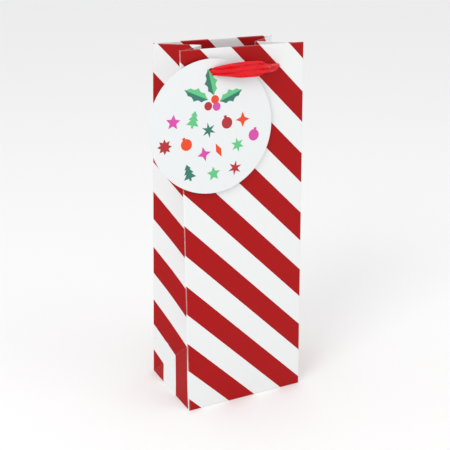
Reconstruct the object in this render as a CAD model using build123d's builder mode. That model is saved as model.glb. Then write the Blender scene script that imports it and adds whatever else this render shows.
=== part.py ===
"""Wine gift bag: a tall gusseted paper bag with ribbon handles and a round hanging tag.

The origin is the centre of the base, on the surface the bag stands on. +Z is up, -Y is the
front, and +X is to the right as the front is seen. All sizes are in millimetres.
"""

import os
from math import asin, cos, sin, tan

from build123d import *

# Bag body
bag_width = 127.0
bag_depth = 94.0
wall_height = 356.0
front_set_back = 9.0  # how far the front wall's top edge stands behind its foot
back_set_forward = 22.8  # how far the back wall's top edge stands in front of its foot
paper = 0.3
foot_gap = 0.1  # keeps the leaning walls' lower corners off the surface below

# Side gussets: a vertical fold down the middle, pushed in more at the top than just above the
# base, where two slanting creases take it back to straight at the foot
half_gusset = bag_depth / 2
gusset_push_foot = 0.5
gusset_push_low = 21.0
gusset_push_top = 35.2
gusset_skin = 0.4  # the paper measured along X, because the fold's sides stand at a slant
gusset_top = 355.2
gusset_back_gap = 0.7  # clear of the back wall, which leans on its own fold

# Turned-in top edge and the card strips inside it
hem_height = 42.0
hem_side_gap = 3.5
card_thickness = 0.8
card_height = 38.0
card_side_gap = 5.5

# Glued folds of the base, and the loose card on them
flap_side_gap = 1.6
flap_end_gap = 0.5
flap_reach = 58.0
flap_taper = 12.0
side_flap_reach = 52.0
side_flap_taper = 25.0
board_thickness = 1.2
board_gap = 2.0
seam_width = 16.0

# Ribbon handles
hole_pitch = 70.0
hole_height = 336.0
hole_radius = 3.0
neck_radius = 2.1
neck_reach = 5.0
knot_radius = 4.6
tail_width = 9.0
tail_length = 26.0
tail_thickness = 0.8
swing_standoff = 7.3
swing_radius = 2.0
band_span = 66.0
band_width = 13.0
band_end_width = 3.0
band_bulge = 7.0
band_thickness = 0.6

# Hanging tag
tag_radius = 62.0
tag_thickness = 0.6
tag_standoff = 2.7
tag_hole_radius = 3.2
tag_hole_above_centre = 50.4

front_lean = asin(front_set_back / wall_height)
back_lean = asin(back_set_forward / wall_height)

# On each wall's plane, local Y runs up the wall and local Z points out of the bag.
front_wall = Plane(
    origin=(0, -bag_depth / 2, 0),
    x_dir=(1, 0, 0),
    z_dir=(0, -cos(front_lean), sin(front_lean)),
)
back_wall = Plane(
    origin=(0, bag_depth / 2, 0),
    x_dir=(-1, 0, 0),
    z_dir=(0, cos(back_lean), sin(back_lean)),
)


def wall_sheet(wall, width, low, high, depth, thickness):
    """A flat sheet on a wall, from low to high, its outer face depth inside the wall's face,
    with the two handle holes where it is high enough to meet them."""
    with BuildPart() as sheet:
        with BuildSketch(wall.offset(-depth)):
            with Locations((0, (low + high) / 2)):
                Rectangle(width, high - low)
            if high > hole_height > low:
                with Locations((-hole_pitch / 2, hole_height), (hole_pitch / 2, hole_height)):
                    Circle(hole_radius, mode=Mode.SUBTRACT)
        extrude(amount=-thickness)
    return sheet


def front_inside(height):
    """The Y of the front wall's inner face at a height."""
    return -bag_depth / 2 + height * tan(front_lean) + paper / cos(front_lean)


def back_inside(height):
    """The Y of the back wall's inner face at a height."""
    return bag_depth / 2 - height * tan(back_lean) - paper / cos(back_lean)


def folded_side(side, edge, levels, inset):
    """Half of a gusset's folded sheet, on the left (side -1) or right (side +1), from its front
    (edge -1) or back (edge +1) edge to the middle fold. levels holds a height and how far the
    fold is pushed in there; inset moves the sheet in along X."""
    with BuildPart() as half:
        for height, push in levels:
            front_y = front_inside(height)
            back_y = back_inside(height) - gusset_back_gap
            edge_y = front_y if edge < 0 else back_y
            middle_y = (front_y + back_y) / 2
            outer = bag_width / 2 - inset
            inner = outer - gusset_skin
            with BuildSketch(Plane.XY.offset(height)):
                with BuildLine():
                    Polyline(
                        (side * outer, edge_y),
                        (side * (outer - push), middle_y),
                        (side * (inner - push), middle_y),
                        (side * inner, edge_y),
                        close=True,
                    )
                make_face()
        loft(ruled=True)
    return half


def long_flap(edge, low):
    """A base flap from the front (edge -1) or back (edge +1) wall's foot, its underside at
    low, tapering to its free edge past the middle of the base."""
    half_foot = bag_width / 2 - flap_side_gap
    foot_y = edge * (bag_depth / 2 - flap_end_gap)
    tip_y = foot_y - edge * flap_reach
    with BuildPart() as flap:
        with BuildSketch(Plane.XY.offset(low)):
            with BuildLine():
                Polyline(
                    (-half_foot, foot_y),
                    (half_foot, foot_y),
                    (half_foot - flap_taper, tip_y),
                    (flap_taper - half_foot, tip_y),
                    close=True,
                )
            make_face()
        extrude(amount=paper)
    return flap


def short_flap(side, low):
    """A base flap from the left (side -1) or right (side +1) gusset's foot."""
    foot_x = side * (bag_width / 2 - flap_side_gap)
    tip_x = foot_x - side * side_flap_reach
    half_foot = bag_depth / 2 - 2 * flap_end_gap
    with BuildPart() as flap:
        with BuildSketch(Plane.XY.offset(low)):
            with BuildLine():
                Polyline(
                    (foot_x, -half_foot),
                    (tip_x, side_flap_taper - half_foot),
                    (tip_x, half_foot - side_flap_taper),
                    (foot_x, half_foot),
                    close=True,
                )
            make_face()
        extrude(amount=paper)
    return flap


def on_wall(wall, across, up, out, z_dir):
    """A plane at a point given on a wall, facing z_dir, with local X along the wall."""
    return Plane(origin=wall.from_local_coords((across, up, out)), x_dir=wall.x_dir, z_dir=z_dir)


def ribbon_anchors(wall):
    """The bunched ends of one ribbon: for each hole a neck through the wall, a knot against
    the wall's inner face and a short tail hanging from the knot."""
    lining = 2 * paper + card_thickness
    knot_depth = lining + knot_radius
    with BuildPart() as anchors:
        for across in (-hole_pitch / 2, hole_pitch / 2):
            with BuildSketch(on_wall(wall, across, hole_height, -knot_depth, wall.z_dir)):
                Circle(neck_radius)
            extrude(amount=knot_depth + neck_reach)
            with Locations(on_wall(wall, across, hole_height, -knot_depth, wall.z_dir)):
                Sphere(knot_radius)
            with BuildSketch(on_wall(wall, across, hole_height, -knot_depth, wall.z_dir)):
                with Locations((0, -tail_length / 2)):
                    Rectangle(tail_width, tail_length)
            extrude(amount=tail_thickness / 2, both=True)
    return anchors


def ribbon_band(wall):
    """The part of one ribbon that shows: a band bowed out from the wall, widest in the
    middle, with a round bunched end at each side on the line that it swings about."""
    half_span = band_span / 2
    half_width = band_width / 2
    half_end = band_end_width / 2
    half_skin = band_thickness / 2
    middle = (0, hole_height, swing_standoff)
    with BuildPart() as band:
        with BuildSketch(on_wall(wall, *middle, -wall.y_dir)):
            with BuildLine():
                outer = ThreePointArc(
                    (-half_span, half_skin), (0, band_bulge + half_skin), (half_span, half_skin)
                )
                inner = ThreePointArc(
                    (-half_span, -half_skin), (0, band_bulge - half_skin), (half_span, -half_skin)
                )
                Line(outer @ 0, inner @ 0)
                Line(outer @ 1, inner @ 1)
            make_face()
        extrude(amount=half_width, both=True)
        with BuildSketch(on_wall(wall, *middle, wall.z_dir)):
            with BuildLine():
                upper = ThreePointArc((-half_span, half_end), (0, half_width), (half_span, half_end))
                lower = ThreePointArc(
                    (-half_span, -half_end), (0, -half_width), (half_span, -half_end)
                )
                Line(upper @ 0, lower @ 0)
                Line(upper @ 1, lower @ 1)
            make_face()
        extrude(amount=2 * band_bulge, both=True, mode=Mode.INTERSECT)
        for across in (-hole_pitch / 2, hole_pitch / 2):
            with BuildSketch(Plane(origin=wall.from_local_coords((across, *middle[1:])), z_dir=wall.x_dir)):
                Circle(swing_radius)
            extrude(amount=1.5 * swing_radius, both=True)
    return band


# The paper body: one printed sheet, folded into four sides, a turned-in top and a base.
front_panel = wall_sheet(front_wall, bag_width, foot_gap, wall_height, 0, paper)
back_panel = wall_sheet(back_wall, bag_width, foot_gap, wall_height, 0, paper)

hem_foot = wall_height - hem_height
hem_width = bag_width - 2 * hem_side_gap
hem_depth = paper + card_thickness
front_hem = wall_sheet(front_wall, hem_width, hem_foot, wall_height, hem_depth, paper)
back_hem = wall_sheet(back_wall, hem_width, hem_foot, wall_height, hem_depth, paper)


def gusset_push(height):
    """How far the middle fold is pushed in, growing evenly above the top of the base fold."""
    share = (height - half_gusset) / (gusset_top - half_gusset)
    return gusset_push_low + share * (gusset_push_top - gusset_push_low)


side_levels = [
    (foot_gap, gusset_push_foot),
    (half_gusset, gusset_push_low),
    (gusset_top, gusset_push_top),
]
gusset_hem_foot = gusset_top - hem_height
hem_levels = [(gusset_hem_foot, gusset_push(gusset_hem_foot)), (gusset_top, gusset_push_top)]
gussets = {}
for side_name, side in (("left", -1), ("right", 1)):
    for edge_name, edge in (("front", -1), ("rear", 1)):
        half = f"{side_name}_gusset_{edge_name}"
        gussets[half] = folded_side(side, edge, side_levels, 0)
        gussets[f"{half}_hem"] = folded_side(side, edge, hem_levels, gusset_skin)

# The glued seam is the free edge of the right gusset, stuck inside the back panel.
with BuildPart() as side_seam_tab:
    with BuildSketch(back_wall.offset(-paper)):
        with Locations((seam_width / 2 - bag_width / 2 + foot_gap, (hem_foot + half_gusset) / 2)):
            Rectangle(seam_width, hem_foot - half_gusset - 2 * paper)
    extrude(amount=-paper)

base_back_flap = long_flap(1, 0)
base_front_flap = long_flap(-1, paper)
base_left_flap = short_flap(-1, 2 * paper)
base_right_flap = short_flap(1, 2 * paper)

# The stiff pieces put inside the paper.
card_width = bag_width - 2 * card_side_gap
card_top = wall_height - paper
card_foot = card_top - card_height
front_card_strip = wall_sheet(
    front_wall, card_width, card_foot, card_top, paper, card_thickness
)
back_card_strip = wall_sheet(back_wall, card_width, card_foot, card_top, paper, card_thickness)

with BuildPart() as base_board:
    with BuildSketch(Plane.XY.offset(3 * paper)):
        Rectangle(bag_width - 2 * board_gap, bag_depth - 2 * board_gap)
    extrude(amount=board_thickness)

# The ribbons, each one length knotted inside its two holes.
front_ribbon_knots = ribbon_anchors(front_wall)
back_ribbon_knots = ribbon_anchors(back_wall)
front_ribbon_handle = ribbon_band(front_wall)
back_ribbon_handle = ribbon_band(back_wall)

# The tag: a round card, threaded on the left end of the front ribbon.
with BuildPart() as gift_tag:
    with BuildSketch(
        on_wall(front_wall, -hole_pitch / 2, hole_height, tag_standoff, front_wall.z_dir)
    ):
        with Locations((0, -tag_hole_above_centre)):
            Circle(tag_radius)
        Circle(tag_hole_radius, mode=Mode.SUBTRACT)
    extrude(amount=tag_thickness)

pieces = {
    "front_panel": front_panel,
    "back_panel": back_panel,
    **gussets,
    "front_hem": front_hem,
    "back_hem": back_hem,
    "side_seam_tab": side_seam_tab,
    "base_back_flap": base_back_flap,
    "base_front_flap": base_front_flap,
    "base_left_flap": base_left_flap,
    "base_right_flap": base_right_flap,
    "front_card_strip": front_card_strip,
    "back_card_strip": back_card_strip,
    "base_board": base_board,
    "front_ribbon_knots": front_ribbon_knots,
    "back_ribbon_knots": back_ribbon_knots,
    "front_ribbon_handle": front_ribbon_handle,
    "back_ribbon_handle": back_ribbon_handle,
    "gift_tag": gift_tag,
}

os.makedirs("parts", exist_ok=True)
for node, piece in pieces.items():
    piece.part.label = node
    export_step(piece.part, f"parts/{node}.step")

# Where the moving pieces turn, in millimetres.
turning_points = {
    "mouth": Vector(0, bag_depth / 2, 0),
    "front handle": front_wall.from_local_coords((0, hole_height, swing_standoff)),
    "back handle": back_wall.from_local_coords((0, hole_height, swing_standoff)),
    "tag": front_wall.from_local_coords((-hole_pitch / 2, hole_height, tag_standoff)),
}
for name, place in turning_points.items():
    print(f"{name}: {place.X:.5f}, {place.Y:.5f}, {place.Z:.5f}")
print(f"tag axis: {front_wall.z_dir.X:.5f}, {front_wall.z_dir.Y:.5f}, {front_wall.z_dir.Z:.5f}")
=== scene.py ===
import math

import bpy
import numpy as np
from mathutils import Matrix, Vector


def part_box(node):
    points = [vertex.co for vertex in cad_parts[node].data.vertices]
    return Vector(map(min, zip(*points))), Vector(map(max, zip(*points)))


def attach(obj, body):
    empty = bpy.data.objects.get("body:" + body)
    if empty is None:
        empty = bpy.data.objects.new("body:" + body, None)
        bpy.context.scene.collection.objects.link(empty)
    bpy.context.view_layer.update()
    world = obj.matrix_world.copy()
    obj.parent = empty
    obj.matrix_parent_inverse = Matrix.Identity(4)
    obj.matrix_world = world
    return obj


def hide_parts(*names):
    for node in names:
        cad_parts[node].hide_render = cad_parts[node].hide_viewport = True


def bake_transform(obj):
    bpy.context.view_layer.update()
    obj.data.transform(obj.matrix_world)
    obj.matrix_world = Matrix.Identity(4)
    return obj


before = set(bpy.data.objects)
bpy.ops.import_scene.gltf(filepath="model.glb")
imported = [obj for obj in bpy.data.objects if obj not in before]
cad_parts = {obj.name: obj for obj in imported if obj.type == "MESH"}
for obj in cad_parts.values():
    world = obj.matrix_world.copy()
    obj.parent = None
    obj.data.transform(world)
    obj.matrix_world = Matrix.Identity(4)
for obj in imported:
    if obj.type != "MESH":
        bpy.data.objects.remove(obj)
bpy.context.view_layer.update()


# ---- The studio ------------------------------------------------------------------------------
# A pale floor under an even white light, one large soft lamp high on the left of the front and
# a weaker one on the right, and a long lens that looks down at the bag's front left corner.
floor_size = 40.0
floor_tone = (0.97, 0.97, 0.97, 1.0)
floor_roughness = 0.9
floor_specular = 0.1
sky_strength = 0.86
lens_mm = 71.0
camera_turn = math.radians(-26.68)
camera_rise = math.radians(19.4)
camera_distance = 0.8958
aim_share = 0.484

bpy.ops.mesh.primitive_plane_add(size=floor_size)
floor = bpy.context.object
floor.name = "studio_floor"
floor_paint = bpy.data.materials.new("studio_floor")
floor_paint.use_nodes = True
floor_shader = floor_paint.node_tree.nodes["Principled BSDF"]
floor_shader.inputs["Base Color"].default_value = floor_tone
floor_shader.inputs["Roughness"].default_value = floor_roughness
floor_shader.inputs["Specular IOR Level"].default_value = floor_specular
floor.data.materials.append(floor_paint)

sky = bpy.data.worlds.new("studio_light")
sky.use_nodes = True
sky.node_tree.nodes["Background"].inputs["Color"].default_value = (1.0, 1.0, 1.0, 1.0)
sky.node_tree.nodes["Background"].inputs["Strength"].default_value = sky_strength
bpy.context.scene.world = sky
bpy.context.scene.view_settings.view_transform = "Standard"


def add_lamp(name, place, aim, size, watts):
    """A square soft lamp at a place, turned towards the point it lights."""
    lamp = bpy.data.lights.new(name, "AREA")
    lamp.size = size
    lamp.energy = watts
    held = bpy.data.objects.new(name, lamp)
    held.location = place
    held.rotation_euler = (Vector(aim) - Vector(place)).to_track_quat("-Z", "Y").to_euler()
    bpy.context.collection.objects.link(held)


bag_middle = Vector((0.0, 0.0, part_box("front_panel")[1].z * aim_share))
add_lamp("key_lamp", (-1.5, -1.0, 1.5), bag_middle, size=0.9, watts=13.0)
add_lamp("fill_lamp", (1.2, -1.4, 1.1), bag_middle, size=1.2, watts=3.5)

camera_back = Vector((
    math.sin(camera_turn) * math.cos(camera_rise),
    -math.cos(camera_turn) * math.cos(camera_rise),
    math.sin(camera_rise),
))
lens = bpy.data.cameras.new("camera")
lens.lens = lens_mm
camera = bpy.data.objects.new("camera", lens)
camera.location = bag_middle + camera_back * camera_distance
camera.rotation_euler = (-camera_back).to_track_quat("-Z", "Y").to_euler()
bpy.context.collection.objects.link(camera)
bpy.context.scene.camera = camera


# ---- Front panel and its hem -----------------------------------------------------------------
# The front of the one sheet of coated paper that the bag is folded from. It leans back from
# its foot, carries the printed stripes, and turns down inside over a card strip at its top.
paper = 0.0003
card = 0.0008
hem_height = 0.042
edge_roll = 0.0009
foot_roll = 0.00045
half_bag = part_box("front_panel")[1].x
wall_bow = 0.0006
wall_ripple = 0.00015
hem_share = 0.979
# How far each fold and rolled edge is paled: partly real wear, partly a painted highlight on the
# folds.
foot_wear_and_highlight = 0.4
top_wear_and_highlight = 0.22
edge_wear_and_highlight = 0.45
smooth_angle = math.radians(38)
hole_height = 0.336
hole_across = 0.035
stripe_pitch = 0.0603
stripe_share = 0.488
stripe_start = 0.3462
stripe_red = (0.400, 0.0070, 0.0080, 1.0)
stripe_red_deep = (0.365, 0.0055, 0.0065, 1.0)
coated_white = (0.815, 0.830, 0.830, 1.0)
coated_white_dull = (0.790, 0.806, 0.808, 1.0)
# The pale tone that folds and edges are mixed towards: wear and painted highlight in one.
wear_and_highlight_white = (0.86, 0.80, 0.79, 1.0)
bare_white = (0.80, 0.80, 0.79, 1.0)
bare_white_dull = (0.74, 0.74, 0.725, 1.0)


class Wire:
    """One output of a material's nodes, so that shader sums read as Python sums."""

    def __init__(self, tree, socket=None):
        self.tree = tree
        self.socket = socket

    def node(self, kind, settings, values, out=0):
        """Adds a node of a kind. Its settings are set first, then each input named or numbered
        in values gets its number, colour or wire."""
        made = self.tree.nodes.new(kind)
        for name, value in settings.items():
            setattr(made, name, value)
        for name, value in values.items():
            if isinstance(value, Wire):
                self.tree.links.new(value.socket, made.inputs[name])
            else:
                made.inputs[name].default_value = value
        return Wire(self.tree, made.outputs[out])

    def maths(self, operation, *numbers):
        """A Math node on up to three numbers or wires."""
        return self.node("ShaderNodeMath", {"operation": operation}, dict(enumerate(numbers)))

    def __add__(self, other):
        return self.maths("ADD", self, other)

    def __radd__(self, other):
        return self.maths("ADD", other, self)

    def __sub__(self, other):
        return self.maths("SUBTRACT", self, other)

    def __rsub__(self, other):
        return self.maths("SUBTRACT", other, self)

    def __mul__(self, other):
        return self.maths("MULTIPLY", self, other)

    def __rmul__(self, other):
        return self.maths("MULTIPLY", other, self)

    def __truediv__(self, other):
        return self.maths("DIVIDE", self, other)

    def __lt__(self, other):
        return self.maths("LESS_THAN", self, other)

    def mix(self, low, high):
        """The colour low where this is 0 and high where it is 1."""
        return self.node(
            "ShaderNodeMix", {"data_type": "RGBA"}, {0: self, 6: low, 7: high}, out=2
        )

    def noise(self, scale, detail=2.0):
        """A soft random pattern on these coordinates, its features about 1 / scale across."""
        return self.node(
            "ShaderNodeTexNoise", {}, {"Vector": self, "Scale": scale, "Detail": detail}
        )

    def bump(self, distance, strength):
        """A normal from this as a height, distance metres high where it is 1."""
        return self.node(
            "ShaderNodeBump", {}, {"Height": self, "Distance": distance, "Strength": strength}
        )


def new_material(name, roughness, specular, **uniform):
    """A material with one Principled shader, whose values that are the same all over are set
    on the shader's own sockets, and the object coordinates that its patterns start from."""
    made = bpy.data.materials.new(name)
    made.use_nodes = True
    shader = made.node_tree.nodes["Principled BSDF"]
    shader.inputs["Roughness"].default_value = roughness
    shader.inputs["Specular IOR Level"].default_value = specular
    for socket, value in uniform.items():
        shader.inputs[socket.replace("_", " ")].default_value = value
    solid = Wire(made.node_tree).node("ShaderNodeTexCoord", {}, {}, out="Object")
    return made, shader, solid


def connect(wire, shader, socket):
    """Feeds a wire to one input of the shader."""
    wire.tree.links.new(wire.socket, shader.inputs[socket])


def striped_paper():
    """Coated paper. A point is red where its place across plus its place up the flat sheet,
    counted in stripe pitches, has a fraction under the red share. The ink is a little smoother
    than the coating, fibre shows through both as a fine bump and a slight mottle, and the folds
    are paled in patches: partly wear, partly a painted highlight along the folds and creases."""
    made, shader, solid = new_material("striped_paper", 0.45, 0.10)
    place = solid.node("ShaderNodeUVMap", {"uv_map": "sheet"}, {})
    across = place.node("ShaderNodeSeparateXYZ", {}, {0: place}, out="X")
    up = place.node("ShaderNodeSeparateXYZ", {}, {0: place}, out="Y")
    turns = (across + up - stripe_start) / stripe_pitch
    red = turns.maths("FRACT", turns) < stripe_share
    mottle = solid.noise(900.0, 4.0)
    cloud = solid.noise(18.0)
    shade = mottle * 0.5 + cloud * 0.5
    white = shade.mix(coated_white_dull, coated_white)
    ink = shade.mix(stripe_red_deep, stripe_red)
    wear_and_highlight = solid.node("ShaderNodeAttribute", {"attribute_name": "wear_and_highlight"}, {}, out="Fac")
    # Folds and creases are paled towards this tone in patches: partly wear, partly a painted
    # highlight.
    rub_and_highlight = wear_and_highlight * (0.15 + solid.noise(260.0, 3.0) * 0.9)
    connect(rub_and_highlight.mix(red.mix(white, ink), wear_and_highlight_white), shader, "Base Color")
    connect(0.47 - red * 0.07 + (mottle - 0.5) * 0.10, shader, "Roughness")
    fibre = solid.noise(2600.0, 3.0) * 0.35 + cloud * 0.65
    connect(fibre.bump(0.00012, 0.35), shader, "Normal")
    return made


def bare_paper():
    """The uncoated back of the paper: matt, slightly warm, with a visible fibre mottle."""
    made, shader, solid = new_material("bare_paper", 0.85, 0.1)
    fibre = solid.noise(1500.0, 5.0)
    connect(fibre.mix(bare_white_dull, bare_white), shader, "Base Color")
    connect(fibre.bump(0.0001, 0.5), shader, "Normal")
    return made


striped = striped_paper()
bare = bare_paper()


def make_mesh(name, vertices, faces, finishes, face_finish, places):
    """A mesh object at the origin from whole arrays: its points, its four-sided faces, which
    of the finishes each face takes, and each point's place on the flat sheet, followed, on
    paper, by how far a fold has paled it, as wear and painted highlight."""
    mesh = bpy.data.meshes.new(name)
    mesh.from_pydata(vertices.tolist(), [], faces.tolist())
    for finish in finishes:
        mesh.materials.append(finish)
    mesh.polygons.foreach_set("material_index", face_finish.astype(np.int32))
    mesh.polygons.foreach_set("use_smooth", np.ones(len(faces), bool))
    layer = mesh.uv_layers.new(name="sheet")
    layer.data.foreach_set("uv", places[faces.ravel(), :2].astype(np.float32).ravel())
    if places.shape[1] > 2:
        wear_and_highlight = mesh.attributes.new("wear_and_highlight", "FLOAT", "POINT")
        wear_and_highlight.data.foreach_set("value", places[:, 2].astype(np.float32))
    mesh.set_sharp_from_angle(angle=smooth_angle)
    mesh.update()
    piece = bpy.data.objects.new(name, mesh)
    bpy.context.collection.objects.link(piece)
    return piece


def shell(name, middle, places, thickness, finishes, rows=slice(None), loop=False):
    """A closed thin sheet. Each point of the middle grid moves half the thickness both ways
    along the cross product of the grid's two directions, and rims join the two faces. rows
    picks a stretch of the grid; with loop, the last row meets the first. The face on the
    normal's side has the first finish, and the rest has the last."""
    along = np.gradient(middle, axis=0)
    if loop:
        along = (np.roll(middle, -1, axis=0) - np.roll(middle, 1, axis=0)) / 2
    normal = np.cross(along, np.gradient(middle, axis=1))
    normal /= np.linalg.norm(normal, axis=2, keepdims=True)
    both = np.stack([middle + normal * thickness / 2, middle - normal * thickness / 2])[:, rows]
    count = both.shape[1] * both.shape[2]
    index = np.arange(count).reshape(both.shape[1:3])
    if loop:
        index = np.concatenate([index, index[:1]])
    front = np.stack([index[:-1, :-1], index[1:, :-1], index[1:, 1:], index[:-1, 1:]], axis=-1)
    front = front.reshape(-1, 4)
    edges = [
        np.stack([index[:-1, 0], index[1:, 0]], axis=1),
        np.stack([index[1:, -1], index[:-1, -1]], axis=1),
    ]
    if not loop:
        edges.append(np.stack([index[-1, :-1], index[-1, 1:]], axis=1))
        edges.append(np.stack([index[0, 1:], index[0, :-1]], axis=1))
    edges = np.concatenate(edges)
    rim = np.stack([edges[:, 1], edges[:, 0], edges[:, 0] + count, edges[:, 1] + count], axis=1)
    faces = np.concatenate([front, front[:, ::-1] + count, rim])
    finish = np.full(len(faces), len(finishes) - 1)
    finish[:len(front)] = 0
    flat = np.tile(places[rows].reshape(-1, places.shape[2]), (2, 1))
    return make_mesh(name, both.reshape(-1, 3), faces, finishes, finish, flat)


def wall_of(node, facing):
    """A leaning wall's foot, its up and inward directions and its height, from the CAD panel:
    facing is -1 for the front and 1 for the back."""
    low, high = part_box(node)
    set_back = high.y - low.y - paper
    height = math.hypot(high.z, set_back)
    slope = set_back / height
    rise = high.z / height
    return {
        "node": node,
        "facing": facing,
        "foot": np.array([0.0, low.y if facing < 0 else high.y, 0.0]),
        "up": np.array([0.0, -facing * slope, rise]),
        "in": np.array([0.0, -facing * rise, -slope]),
        "height": height,
    }


def on_wall(wall, across, height, depth):
    """Points at a distance across, up and into a wall, for arrays of the three."""
    return (
        wall["foot"]
        + np.multiply.outer(across, np.array([1.0, 0.0, 0.0]))
        + np.multiply.outer(height, wall["up"])
        + np.multiply.outer(depth, wall["in"])
    )


def folded_run(top, lining, climb_shares):
    """The sheet's run from its turned foot to the cut edge of its hem, with the height and the
    depth that each run is at, its fold wear and painted highlight, and the row at the top fold's
    middle. The foot is a quarter circle, the top a half circle wide enough for the lining, with
    straight sheet between, which has a row at each of the climb shares."""
    foot_rows = 4
    fold_rows = 9
    hem_rows = 15
    turn = (lining + paper) / 2
    straight = top - paper - foot_roll - turn
    lengths = [foot_roll * math.pi / 2, straight, turn * math.pi, hem_height]
    ends = np.cumsum(lengths)
    run = np.concatenate([
        np.linspace(0, ends[0], foot_rows),
        ends[0] + straight * climb_shares[1:],
        np.linspace(ends[1], ends[2], fold_rows)[1:],
        np.linspace(ends[2], ends[3], hem_rows)[1:],
    ])
    foot_angle = np.clip(run / foot_roll, 0, math.pi / 2)
    fold_angle = np.clip((run - ends[1]) / turn, 0, math.pi)
    climb = np.clip(run - ends[0], 0, straight)
    fall = np.maximum(run - ends[2], 0)
    height = paper / 2 + foot_roll * (1 - np.cos(foot_angle)) + climb
    height = height + turn * np.sin(fold_angle) - fall
    depth = paper / 2 + foot_roll * (1 - np.sin(foot_angle)) + turn * (1 - np.cos(fold_angle))
    # Paler at the foot and top folds, partly as wear and partly as a painted highlight.
    wear_and_highlight = np.maximum(np.cos(foot_angle) * foot_wear_and_highlight, np.sin(fold_angle) * top_wear_and_highlight)
    crown = foot_rows - 1 + len(climb_shares) - 1 + fold_rows // 2
    return run, height, depth, wear_and_highlight, crown


def wall_sheet(wall, stripe_shift):
    """A wall's sheet from foot to hem, and its places on the print. Across, it is flat between
    two quarter circles, where it turns towards the gussets. Its middle bows out, as a sine of
    the height times an even curve across, with a slight ripple of sines both ways. The hem is
    a little narrower than the wall, and the folds and rolled edges are paled, partly as wear and
    partly as a painted highlight. The print's place across counts from the left edge, and its
    place up is the run, which counts down on the back."""
    roll_points = 5
    flat_columns = 49
    climb_rows = 76
    turn = np.linspace(0, math.pi / 2, roll_points)[1:]
    flat_part = np.linspace(edge_roll - half_bag, half_bag - edge_roll, flat_columns)
    rolled = half_bag - edge_roll + (edge_roll - paper / 2) * np.sin(turn)
    sunk = (edge_roll - paper / 2) * (1 - np.cos(turn))
    across = np.concatenate([-rolled[::-1], flat_part, rolled])
    roll = np.concatenate([sunk[::-1], 0 * flat_part, sunk])
    run, height, depth, wear_and_highlight, crown = folded_run(
        wall["height"], card + 2 * paper, np.linspace(0, 1, climb_rows)
    )
    share = np.clip(across / half_bag, -1, 1)
    bow = wall_bow * np.outer(np.sin(math.pi * height / wall["height"]), 1 - share**2)
    ripple = wall_ripple * np.outer(np.sin(61 * height + 0.4), np.sin(47 * across + 0.6))
    grid_depth = depth[:, None] + roll - bow - ripple * (1 - share**2)
    grid_across = np.tile(across, (len(run), 1))
    grid_height = np.tile(height[:, None], len(across))
    past_crown = np.arange(len(run))[:, None] > crown
    grid_across = np.where(past_crown, grid_across * hem_share, grid_across)
    grid_depth = np.where(past_crown, depth[:, None] + 0 * bow, grid_depth)
    middle = on_wall(wall, grid_across, grid_height, grid_depth)
    way = -wall["facing"]
    # The third place pales the folds and the rolled edges, partly as wear and partly as a painted
    # highlight.
    places = np.stack([
        half_bag + stripe_shift + grid_across,
        way * np.tile(run[:, None], len(across)),
        np.maximum(wear_and_highlight[:, None], np.where(past_crown, 0, edge_wear_and_highlight * (roll > 0))),
    ], axis=-1)
    order = slice(None, None, wall["facing"])
    return middle[:, order], places[:, order], crown


front_wall = wall_of("front_panel", -1)
sheet_middle, sheet_places, crown_row = wall_sheet(front_wall, 0.0)
front_panel = shell(
    "front_panel_paper", sheet_middle, sheet_places, paper, [striped, bare], slice(0, crown_row + 1)
)
front_hem = shell(
    "front_hem_paper", sheet_middle, sheet_places, paper, [striped, bare], slice(crown_row, None)
)
for piece, node in ((front_panel, "front_panel"), (front_hem, "front_hem")):
    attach(piece, "front_and_base")
    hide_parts(node)


# ---- Back panel and its hem ------------------------------------------------------------------
# The back of the same sheet. It leans forward further than the front leans back. Seen from
# outside, its stripes fall to the right as on the front, because the print is wrapped round.
print_shift = 0.01241
back_wall = wall_of("back_panel", 1)
sheet_middle, sheet_places, crown_row = wall_sheet(back_wall, print_shift)
back_panel = shell(
    "back_panel_paper", sheet_middle, sheet_places, paper, [striped, bare], slice(0, crown_row + 1)
)
back_hem = shell(
    "back_hem_paper", sheet_middle, sheet_places, paper, [striped, bare], slice(crown_row, None)
)
for piece, node in ((back_panel, "back_panel"), (back_hem, "back_hem")):
    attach(piece, "back_wall")
    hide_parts(node)


# ---- Side gussets and their hems -------------------------------------------------------------
# The sides of the same sheet. Each has a fold down its middle, pushed in further at the top,
# and two slanting creases at its foot, where the flat base pulls it straight again. The left
# one's print is squeezed a little about the one place across where it is true.
half_gusset = 0.047
gusset_top = 0.3552
push_low = 0.021
push_top = 0.0352
crease = 0.0011
base_crease_height = 0.040
base_crease_width = 0.0012
base_crease_step = 0.0004
base_crease_from = 1.25 * half_gusset
base_crease_fade = 0.012
base_crease_to = 0.0925
gusset_wave = 0.0004
# The middle fold is paled partly as wear and partly as a painted highlight; the slanting creases
# get a faint painted highlight that stands for their shading.
fold_wear_and_highlight = 0.35
slant_crease_highlight = 0.05
print_creep = 0.055
print_true = 0.0764


def soft_lower(first, second):
    """The lower of two, rounded where they cross: half of the sum less the root of the squared
    difference plus the squared crease width."""
    return (first + second - np.sqrt((first - second) ** 2 + crease**2)) / 2


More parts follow.
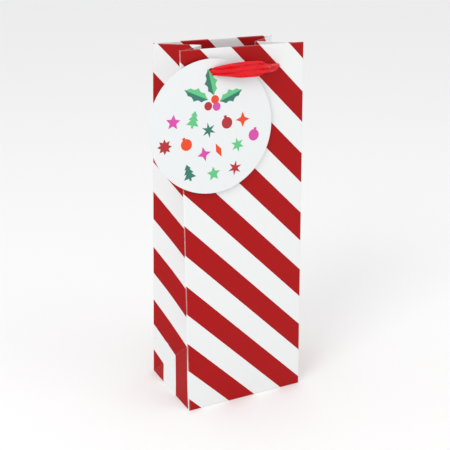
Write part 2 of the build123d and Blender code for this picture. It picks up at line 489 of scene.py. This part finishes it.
def gusset_sheet(side):
    """A gusset's sheet from foot to hem, on the left (-1) or right (1), and its places on the
    print. Across, it runs from the front edge to the back edge. It is pushed in by a share of
    the distance to the nearer edge, or to the foot where that is less; the share grows with
    height above the base creases. A narrow bell curve in height presses a crease into the rear
    half, and a product of sines waves the paper. Its edges follow the two leaning walls. Rows
    lie closer together up to just above the slanting creases."""
    base_share = 1.04 * half_gusset / gusset_top
    base_rows = 52
    upper_rows = 90
    columns = 95
    climb_shares = np.concatenate([
        np.linspace(0, base_share, base_rows),
        np.linspace(base_share, 1, upper_rows)[1:],
    ])
    run, height, depth, wear_and_highlight, crown = folded_run(gusset_top, 2 * paper, climb_shares)
    across = np.linspace(0, 2 * half_gusset, columns)
    near = half_gusset - np.sqrt((across - half_gusset) ** 2 + crease**2)
    grid_height = np.tile(height[:, None], len(across))
    grown = np.clip((grid_height - half_gusset) / (gusset_top - half_gusset), 0, None)
    share = (push_low + (push_top - push_low) * grown) / half_gusset
    push = share * soft_lower(np.tile(near, (len(run), 1)), grid_height)
    pressed = np.exp(-(((grid_height - base_crease_height) / base_crease_width) ** 2))
    rear = np.clip((across - base_crease_from) / base_crease_fade, 0, 1)
    rear = rear * (across < base_crease_to)
    push = push + base_crease_step * pressed * rear
    wave = np.sin(math.pi * across / half_gusset) ** 2 * np.sin(23 * height + side)[:, None]
    push = push + gusset_wave * wave
    inset = half_bag - paper / 2 - np.maximum(push, 0) - (depth[:, None] - paper / 2)
    from_front = on_wall(front_wall, side * inset, grid_height, edge_roll + 0 * inset)
    from_back = on_wall(back_wall, side * inset, grid_height, edge_roll + 0 * inset)
    part = (across / (2 * half_gusset))[:, None]
    middle = from_front * (1 - part) + from_back * part
    if side > 0:
        print_across = 2 * half_bag + across
        way = 1
    else:
        print_across = print_shift - (2 * half_gusset - across)
        print_across = print_across + print_creep * (print_true - across)
        way = -1
    grid_run = np.tile(run[:, None], len(across))
    from_fold = np.abs(across - half_gusset)[None]
    from_crease = np.abs(np.minimum(across, 2 * half_gusset - across)[None] - grid_height)
    # Painted highlight along the middle fold, which is partly wear, and along the slanting creases.
    folds = np.maximum(
        fold_wear_and_highlight * np.exp(-((from_fold / crease) ** 2)) * (grid_height > half_gusset),
        slant_crease_highlight * np.exp(-((from_crease / crease) ** 2)) * (grid_height < half_gusset),
    )
    places = np.stack([
        np.tile(print_across, (len(run), 1)),
        way * grid_run,
        np.maximum(wear_and_highlight[:, None], folds),
    ], axis=-1)
    order = slice(None, None, -side)
    return middle[:, order], places[:, order], crown


for side_name, side in (("left", -1), ("right", 1)):
    sheet_middle, sheet_places, crown_row = gusset_sheet(side)
    gusset = shell(
        f"{side_name}_gusset_paper", sheet_middle, sheet_places, paper, [striped, bare],
        slice(0, crown_row + 1),
    )
    gusset_hem = shell(
        f"{side_name}_gusset_hem_paper", sheet_middle, sheet_places, paper, [striped, bare],
        slice(crown_row, None),
    )
    for piece, ending in ((gusset, ""), (gusset_hem, "_hem")):
        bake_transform(piece)
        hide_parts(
            f"{side_name}_gusset_front{ending}", f"{side_name}_gusset_rear{ending}"
        )


# ---- Base flaps and seam tab -----------------------------------------------------------------
# The four flaps of the same sheet, folded in and glued on each other under the bag, and the
# free edge of the right gusset, glued inside the back panel.
def flap_paper():
    """Printed underneath, as on the walls, but with the stripes read from the place in the
    bag: red where across less back, in pitches, has a fraction under the red share. The faces
    that don't look down are bare, and rougher."""
    made, shader, solid = new_material("flap_paper", 0.5, 0.16)
    across = solid.node("ShaderNodeSeparateXYZ", {}, {0: solid}, out="X")
    back = solid.node("ShaderNodeSeparateXYZ", {}, {0: solid}, out="Y")
    facing = solid.node("ShaderNodeTexCoord", {}, {}, out="Normal")
    tilt = solid.node("ShaderNodeSeparateXYZ", {}, {0: facing}, out="Z")
    turns = (across - back + half_bag - half_gusset - stripe_start) / stripe_pitch
    red = turns.maths("FRACT", turns) < stripe_share
    fibre = solid.noise(1500.0, 5.0)
    print_side = red.mix(
        fibre.mix(coated_white_dull, coated_white), fibre.mix(stripe_red_deep, stripe_red)
    )
    underneath = tilt < -0.5
    top_side = fibre.mix(bare_white_dull, bare_white)
    connect(underneath.mix(top_side, print_side), shader, "Base Color")
    connect(0.8 - underneath * 0.32, shader, "Roughness")
    connect(fibre.bump(0.0001, 0.4), shader, "Normal")
    return made


def finish_node(node, finish):
    """Gives a CAD node's object one finish all over."""
    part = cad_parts[node]
    part.data.materials.clear()
    part.data.materials.append(finish)


flap_finish = flap_paper()
for node in ("base_back_flap", "base_front_flap", "base_left_flap", "base_right_flap"):
    finish_node(node, flap_finish)
finish_node("side_seam_tab", bare)


# ---- Card strips and base board --------------------------------------------------------------
# Strips of white-lined card stiffen the top of the front and the back, inside the turned
# hem. A loose grey board lies on the flaps and keeps the base flat.
strip_light = (0.78, 0.77, 0.74, 1.0)
strip_dark = (0.70, 0.69, 0.66, 1.0)
grey_light = (0.42, 0.40, 0.37, 1.0)
grey_dark = (0.30, 0.285, 0.26, 1.0)
fleck_tone = (0.16, 0.15, 0.14, 1.0)


def pressed_board(name, light, dark, fleck):
    """Pulp board: two close tones in soft clouds, with fine dark flecks of fibre."""
    made, shader, solid = new_material(name, 0.9, 0.08)
    cloud = solid.noise(90.0, 6.0)
    specks = (solid.noise(1300.0, 2.0) < 0.36) * fleck
    tone = cloud.mix(dark, light)
    connect(specks.mix(tone, fleck_tone), shader, "Base Color")
    connect(0.86 + cloud * 0.1, shader, "Roughness")
    connect((cloud * 0.4 + solid.noise(1900.0, 3.0) * 0.6).bump(0.00015, 0.6), shader, "Normal")
    return made


strip_finish = pressed_board("strip_board", strip_light, strip_dark, 0.1)
base_finish = pressed_board("base_board", grey_light, grey_dark, 0.5)
finish_node("front_card_strip", strip_finish)
finish_node("back_card_strip", strip_finish)
finish_node("base_board", base_finish)


# ---- Ribbon handles --------------------------------------------------------------------------
# A length of crimson satin ribbon on each side. It comes out through one hole, spreads to its
# full width in front of the wall, puckers, and goes back in through the other hole.
ribbon_width = 0.0145
ribbon_thickness = 0.00028
ribbon_reach = 0.0143
ribbon_inside = 0.0045
ribbon_rise = 0.0008
arch_fullness = 2.15
neck_height = 0.0019
lens_power = 0.66
pucker_from = 0.10
pucker_to = 0.66
pucker_share = 0.34
pucker_drop = 0.0011
pucker_middle = 0.50
pucker_spread = 0.16
broad_pleat = 0.00030
broad_gather = 0.00040
fine_pleat = 0.00016
fine_gather = 0.00026
pucker_pleat = 0.0008
crumple_depth = 0.00034
low_end = 0.45
least_angle = 0.25
roll_angle = 3.9
arch_columns = 170
band_rows = 81
sheen_red = (1.0, 0.25, 0.30, 1.0)
satin_red = (0.97, 0.0070, 0.0200, 1.0)
# The darker red is partly the threads' own tone and partly painted shade in the crease lines and
# crumples.
satin_red_thread_and_crease_shade = (0.50, 0.0035, 0.0065, 1.0)


def satin():
    """Woven satin: fine threads along the ribbon that shift its tone and its gloss, long soft
    crease lines and short crumples both ways that bump it and also paint shade and highlight
    into its colour, and a soft sheen at grazing angles."""
    made, shader, solid = new_material(
        "satin_ribbon", 0.36, 0.22, Sheen_Weight=0.08, Sheen_Roughness=0.4,
        Sheen_Tint=sheen_red,
    )
    place = solid.node("ShaderNodeUVMap", {"uv_map": "sheet"}, {})

    def streaks(across_scale, along_scale, detail):
        """Noise with its own scale across and along the ribbon."""
        stretch = {"Vector": place, "Scale": (across_scale, along_scale, 1.0)}
        return place.node("ShaderNodeMapping", {}, stretch).noise(1.0, detail)

    threads = streaks(5200.0, 260.0, 2.0)
    crease_lines = streaks(700.0, 70.0, 3.0)
    crumple = streaks(430.0, 240.0, 4.0)
    # The colour mixes the threads' own tone with painted shade and highlight from the crease lines
    # and crumples.
    tone = threads * 0.30 + crease_lines * 0.35 + crumple * 0.35
    connect(((tone - 0.33) * 2.6).mix(satin_red_thread_and_crease_shade, satin_red), shader, "Base Color")
    connect(0.24 + threads * 0.22, shader, "Roughness")
    height = threads * 0.15 + crease_lines * 0.35 + crumple * 0.5
    connect(height.bump(0.0008, 0.6), shader, "Normal")
    return made


satin_finish = satin()


def ease(value, low, high):
    """0 below low, 1 above high, and a smooth step of the cube between."""
    part = np.clip((value - low) / (high - low), 0, 1)
    return part * part * (3 - 2 * part)


def pleats(place, run, side, rolled):
    """How far the ribbon stands out of its plain roll. Broad and fine sines across wander along
    it and deepen where it is half rolled; a deeper sine lies in a bell curve round the pucker;
    and a product of sines both ways crumples it. They fade where it is rolled tight."""
    gather = 4 * rolled * (1 - rolled)
    broad = (broad_pleat + broad_gather * gather)[:, None]
    fine = (fine_pleat + fine_gather * gather)[:, None]
    bell = np.exp(-(((place - pucker_middle) / pucker_spread) ** 2))[:, None]
    stand = broad * np.sin(9.5 * side + 1.2 * np.sin(70 * run))
    stand = stand + fine * np.sin(19 * side - 120 * run)
    stand = stand + pucker_pleat * bell * np.sin(4.4 * side + 430 * (run - 0.06))
    stand = stand + crumple_depth * np.sin(260 * run + 5 * side) * np.sin(4 * side + 90 * run)
    return stand * (1 - ease(rolled, 0.72, 0.9))[:, None]


def ribbon_band(name, wall, nodes):
    """The ribbon from one knot to the other. Its line is straight through each hole and a
    superellipse in front of the wall, closer to the wall towards its right end. Its section is
    an arc as long as the ribbon is wide, which closes into a loose roll as its height drops
    from the ribbon's width to the hole's: half the height is a lens, a power of one less the
    square of the place along, that narrows past the middle, where the ribbon puckers."""
    angle = np.linspace(0, math.pi, arch_columns)
    power = 2 / arch_fullness
    arch_across = -hole_across * np.sign(np.cos(angle)) * np.abs(np.cos(angle)) ** power
    arch_out = ribbon_reach * np.sin(angle) ** power
    arch_out = arch_out * (1 - low_end * ease(arch_across / hole_across, 0.35, 0.97))
    inside = np.linspace(-ribbon_inside, 0, 6)[:-1]
    across = np.concatenate([-hole_across + 0 * inside, arch_across, hole_across + 0 * inside])
    out = np.concatenate([inside, arch_out, inside[::-1]])
    place = across / hole_across
    lens = np.clip(1 - place**2, 0, 1) ** lens_power
    half_height = neck_height + (ribbon_width * 0.5 - neck_height) * lens
    pucker = ease(place, pucker_from, pucker_to)
    half_height = np.minimum(half_height, ribbon_width * 0.49) * (1 - pucker_share * pucker)
    half_height = np.maximum(half_height, neck_height)
    trial = np.linspace(least_angle, roll_angle, 200)
    trial_height = ribbon_width / (2 * trial) * np.sin(np.minimum(trial, math.pi / 2))
    half_angle = np.interp(-half_height, -trial_height, trial)
    rolled = (half_angle - trial[0]) / (trial[-1] - trial[0])
    rise = ribbon_rise * np.sin(math.pi * (place + 1) / 2)
    rise = rise - pucker_drop * np.exp(-(((place - 0.66) / 0.24) ** 2))
    line = on_wall(wall, across, hole_height + rise * (out > 0.002), -out)
    along = np.gradient(line, axis=0)
    along /= np.linalg.norm(along, axis=1, keepdims=True)
    length = np.concatenate([[0], np.cumsum(np.linalg.norm(np.diff(line, axis=0), axis=1))])
    outward = wall["facing"] * np.cross(wall["up"], along)
    outward /= np.linalg.norm(outward, axis=1, keepdims=True)
    upward = wall["facing"] * np.cross(along, outward)
    side = np.linspace(-1, 1, band_rows)
    radius = (ribbon_width / (2 * half_angle))[:, None] * (1 + 0.10 * rolled[:, None] * side)
    bend = half_angle[:, None] * side
    run = length[:, None]
    pleat = pleats(place, run, side, rolled)
    height = radius * np.sin(bend) + 0.3 * pleat * np.sin(bend)
    bulge = radius * np.cos(bend) - (radius * (1 - rolled[:, None])) + pleat
    middle = (
        line[:, None]
        + upward[:, None] * height[..., None]
        + outward[:, None] * bulge[..., None]
    )
    places = np.stack([
        np.tile(side * ribbon_width / 2, (len(line), 1)),
        np.tile(run, len(side)),
    ], axis=-1)
    ribbon = shell(name, middle, places, ribbon_thickness, [satin_finish])
    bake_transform(ribbon)
    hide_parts(*nodes)


ribbon_band(
    "front_ribbon", front_wall, ["front_ribbon_handle"],
)
ribbon_band(
    "back_ribbon", back_wall, ["back_ribbon_handle"],
)


# ---- Knots and tails -------------------------------------------------------------------------
# Inside the bag each ribbon end is tied in an overhand knot that can't pass the hole, and its
# cut tail hangs down the hem.
knot_radius = 0.0046
knot_flatness = 0.92
knot_spokes = 72
knot_rings = 37
tail_length = 0.026
tail_width = 0.0095
tail_slant = 0.0016
tail_lean = 0.0025
tail_gather = 0.0007
tail_curl = 0.0016


def knot(name, wall, across, body):
    """A ball of ribbon. Its radius is dented by wraps that run round it on a slant, as the
    square root of a sine's size, and its poles lie up and down."""
    pole = 0.02
    round_angle = np.linspace(0, 2 * math.pi, knot_spokes + 1)[:-1, None]
    fall_angle = np.linspace(pole, math.pi - pole, knot_rings)[None]
    wraps = np.sqrt(np.abs(np.sin(1.5 * round_angle + 2.1 * fall_angle)))
    ball = knot_radius * (0.80 + 0.20 * wraps) * (1 + 0.06 * np.cos(3 * round_angle))
    lining = card + 2 * paper
    centre_depth = lining + knot_radius
    middle = on_wall(
        wall,
        across + ball * np.sin(fall_angle) * np.cos(round_angle),
        hole_height + knot_flatness * ball * np.cos(fall_angle) + 0 * round_angle,
        centre_depth + knot_flatness * ball * np.sin(fall_angle) * np.sin(round_angle),
    )
    places = np.stack([
        0.004 * fall_angle + 0 * round_angle,
        0.004 * round_angle + 0 * fall_angle,
    ], axis=-1)
    piece = shell(name, middle, places, ribbon_thickness, [satin_finish], loop=True)
    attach(piece, body)
    return piece


def tail(name, wall, across, body):
    """The ribbon end under a knot: a strip that spreads from the knot, hangs down with a slow
    curl, and is cut at a slant. Across, it is gathered at the top and flat at the end."""
    down = np.linspace(0, 1, 60)[:, None]
    side = np.linspace(-1, 1, 25)[None]
    spread = 0.45 + 0.55 * ease(down, 0.0, 0.6)
    slant = tail_slant * side * ease(down, 0.7, 1.0)
    lean = tail_lean * np.sign(across) * down**2
    gather = tail_gather * (1 - ease(down, 0.0, 0.7)) * np.sin(6 * side)
    curl = tail_curl * np.sin(4.2 * down + across * 40)
    middle = on_wall(
        wall,
        across + lean + spread * side * tail_width / 2,
        hole_height - 0.6 * knot_radius - down * tail_length + slant,
        card + 2 * paper + knot_radius + gather + curl + 0 * side,
    )
    places = np.stack([
        side * tail_width / 2 + 0 * down,
        down * tail_length + 0 * side,
    ], axis=-1)
    piece = shell(name, middle, places, ribbon_thickness, [satin_finish])
    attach(piece, body)
    return piece


for wall_name, wall, body in (
    ("front", front_wall, "front_and_base"), ("back", back_wall, "back_wall")
):
    for end_name, across in (("left", -hole_across), ("right", hole_across)):
        tied = knot(f"{wall_name}_{end_name}_knot", wall, across, body)
        hung = tail(f"{wall_name}_{end_name}_tail", wall, across, body)
        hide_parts(f"{wall_name}_ribbon_knots")
        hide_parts(f"{wall_name}_ribbon_knots")


# ---- Hanging tag -----------------------------------------------------------------------------
# A round of coated white card, die cut with a hole near its edge and threaded on the left end
# of the front ribbon. It is printed with a sprig of holly and small festive shapes.
tag_radius = 0.062
tag_thickness = 0.0006
tag_hole_radius = 0.0032
tag_hole_rise = 0.0504
tag_standoff = 0.0027
tag_bow = 0.0007
ink_film = 0.00006
tag_white = (0.795, 0.815, 0.820, 1.0)
tag_white_dull = (0.770, 0.792, 0.797, 1.0)
tag_spokes = 240
tag_rings = 24


def tag_place(across, up, out):
    """Points at a distance across and up from the tag's centre and out from its middle face,
    which bows forward by a part that falls with the square of the distance across."""
    bowed = tag_bow * (1 - (across / tag_radius) ** 2)
    depth = -(tag_standoff + tag_thickness / 2 + bowed + out)
    height = hole_height - tag_hole_rise + up
    return on_wall(front_wall, across - hole_across, height + 0 * depth, depth)


def tag_card():
    """Smooth coated card with a very slight mottle and a silky surface."""
    made, shader, solid = new_material("tag_card", 0.5, 0.18)
    mottle = solid.noise(700.0, 4.0)
    connect(mottle.mix(tag_white_dull, tag_white), shader, "Base Color")
    connect(0.44 + mottle * 0.1, shader, "Roughness")
    connect(solid.noise(2200.0, 3.0).bump(0.00008, 0.3), shader, "Normal")
    return made


def tag_ink(name, tone):
    """Printing ink: one colour with a slight mottle, a little glossier than the card."""
    made, shader, solid = new_material(f"ink_{name}", 0.42, 0.2)
    light = tuple(min(1.06 * part, 1.0) for part in tone) + (1.0,)
    dark = tuple(0.92 * part for part in tone) + (1.0,)
    mottle = solid.noise(800.0, 4.0)
    connect(mottle.mix(dark, light), shader, "Base Color")
    connect(0.38 + mottle * 0.1, shader, "Roughness")
    return made


turn = np.linspace(0, 2 * math.pi, tag_spokes + 1)[:-1, None]
reach = np.linspace(0, 1, tag_rings)[None]
ring = tag_hole_radius + (tag_radius - tag_hole_radius) * reach
tag_across = ring * np.sin(turn)
tag_up = tag_hole_rise * (1 - reach) + ring * np.cos(turn)
tag_middle = tag_place(tag_across, tag_up, 0 * tag_up)
tag_places = np.stack([tag_across, tag_up], axis=-1)
tag = shell("tag_disc", tag_middle, tag_places, tag_thickness, [tag_card()], loop=True)
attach(tag, "tag")
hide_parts("gift_tag")


def star(points, outer, inner):
    """A star's outline in millimetres: its corners lie evenly round, far and near by turns."""
    corner = np.arange(2 * points)
    radius = np.where(corner % 2, inner, outer)
    around = math.pi / 2 + corner * math.pi / points
    return np.stack([radius * np.cos(around), radius * np.sin(around)], axis=1)


def bauble():
    """A round outline whose radius steps up by about a third over a narrow cap at the top."""
    around = np.linspace(0, 2 * math.pi, 97)[:-1]
    off_top = np.abs(around - math.pi / 2)
    radius = 5.4 + 1.9 * (1 - ease(off_top, 0.19, 0.24))
    return np.stack([radius * np.cos(around), radius * np.sin(around)], axis=1)


def fir_tree():
    """A fir tree of three tiers and a trunk: its right side, then the same mirrored."""
    right = np.array([
        (0, 8), (3.4, 3.4), (1.7, 3.4), (4.8, -1), (2.5, -1), (6.2, -5.6), (1.1, -5.6), (1.1, -8)
    ], dtype=float)
    return np.concatenate([right, right[:0:-1] * (-1, 1)])


def disc(radius):
    """A circle's outline."""
    around = np.linspace(0, 2 * math.pi, 65)[:-1]
    return radius * np.stack([np.cos(around), np.sin(around)], axis=1)


def holly_half(base, tip, half_width, hand):
    """Half of a holly leaf on one side of its rib. Its width is a sine of the way along the
    rib, hollowed by up to about a third in a row of scallops, so that spines stand between."""
    base = np.array(base)
    rib = np.array(tip) - base
    along = np.linspace(0, 1, 81)
    scallop = 1 - 0.36 * np.sin(math.pi * ((3.4 * along + 0.3) % 1.0))
    width = half_width * np.sin(math.pi * along**0.9) * scallop
    across = hand * np.array([-rib[1], rib[0]]) / np.hypot(*rib)
    return base + along[:, None] * rib + width[:, None] * across


def moved(outline, across, up, tilt):
    """An outline turned by tilt degrees and set down at its place on the tag."""
    angle = math.radians(tilt)
    spin = np.array([[math.cos(angle), math.sin(angle)], [-math.sin(angle), math.cos(angle)]])
    return outline @ spin + (across, up)


def printed(name, outlines, ink):
    """A film of ink: each outline, in millimetres from the tag's centre, is a thin closed plate
    on the card's face, with one face in front, one behind and a rim of four-sided faces. An
    outline that runs clockwise, by the sign of its area, is turned round first."""
    points = []
    faces = []
    count = 0
    for outline in outlines:
        x, y = outline.T
        if np.sum(x * np.roll(y, -1) - np.roll(x, -1) * y) < 0:
            outline = outline[::-1]
        size = len(outline)
        flat = outline / 1000
        for out in (tag_thickness / 2 + ink_film, tag_thickness / 2 - ink_film):
            points.append(tag_place(flat[:, 0], flat[:, 1], out))
        first = count + np.arange(size)
        second = np.roll(first, -1)
        faces.append(first.tolist())
        faces.append((first[::-1] + size).tolist())
        faces.extend(np.stack([second, first, first + size, second + size], axis=1).tolist())
        count += 2 * size
    mesh = bpy.data.meshes.new(name)
    mesh.from_pydata(np.concatenate(points).tolist(), [], faces)
    mesh.materials.append(ink)
    mesh.update()
    piece = bpy.data.objects.new(name, mesh)
    bpy.context.collection.objects.link(piece)
    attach(piece, "tag")


inks = {
    "pink": (0.65, 0.082, 0.381),
    "light_green": (0.127, 0.552, 0.235),
    "dark_green": (0.042, 0.198, 0.147),
    "deep_red": (0.445, 0.034, 0.042),
    "orange_red": (0.791, 0.074, 0.024),
}
ornaments = {
    "pink": [
        moved(star(5, 7.2, 3.4), -38.3, 8.1, -6),
        moved(star(4, 7.0, 2.9), -8.6, -23.9, 12),
        moved(bauble(), 43.0, -11.6, -14),
        disc(3.9) + (4.8, 18.7),
    ],
    "light_green": [
        moved(fir_tree(), -18.4, 8.9, -14),
        moved(star(6, 7.0, 3.0), 25.8, -19.0, 10),
        moved(star(5, 7.0, 3.3), 0.7, -43.6, 4),
        holly_half((2.1, 29.0), (-3.4, 53.4), 6.8, -1),
        holly_half((-3.7, 25.5), (-26.9, 36.1), 6.6, -1),
        holly_half((7.8, 23.0), (31.2, 32.0), 6.4, 1),
    ],
    "dark_green": [
        moved(star(6, 7.3, 2.7), -3.6, -2.4, 8),
        moved(fir_tree(), -24.5, -39.5, 14),
        holly_half((2.1, 29.0), (-3.4, 53.4), 6.6, 1),
        holly_half((-3.7, 25.5), (-26.9, 36.1), 6.4, 1),
        holly_half((7.8, 23.0), (31.2, 32.0), 6.4, -1),
    ],
    "deep_red": [
        moved(bauble(), 15.1, 2.7, 16),
        moved(star(8, 7.2, 4.2), -47.2, -13.2, 0),
        moved(star(6, 7.2, 2.8), 22.9, -40.8, -10),
        disc(3.9) + (-3.6, 19.7),
    ],
    "orange_red": [
        moved(star(4, 7.2, 3.0), 31.4, 4.3, 0),
        moved(bauble(), -26.0, -13.5, 24),
        moved(star(2, 7.2, 2.9), 6.2, -21.9, 24),
        disc(3.9) + (3.3, 25.2),
    ],
}
for ink_name, tone in inks.items():
    printed(f"tag_print_{ink_name}", ornaments[ink_name], tag_ink(ink_name, tone))
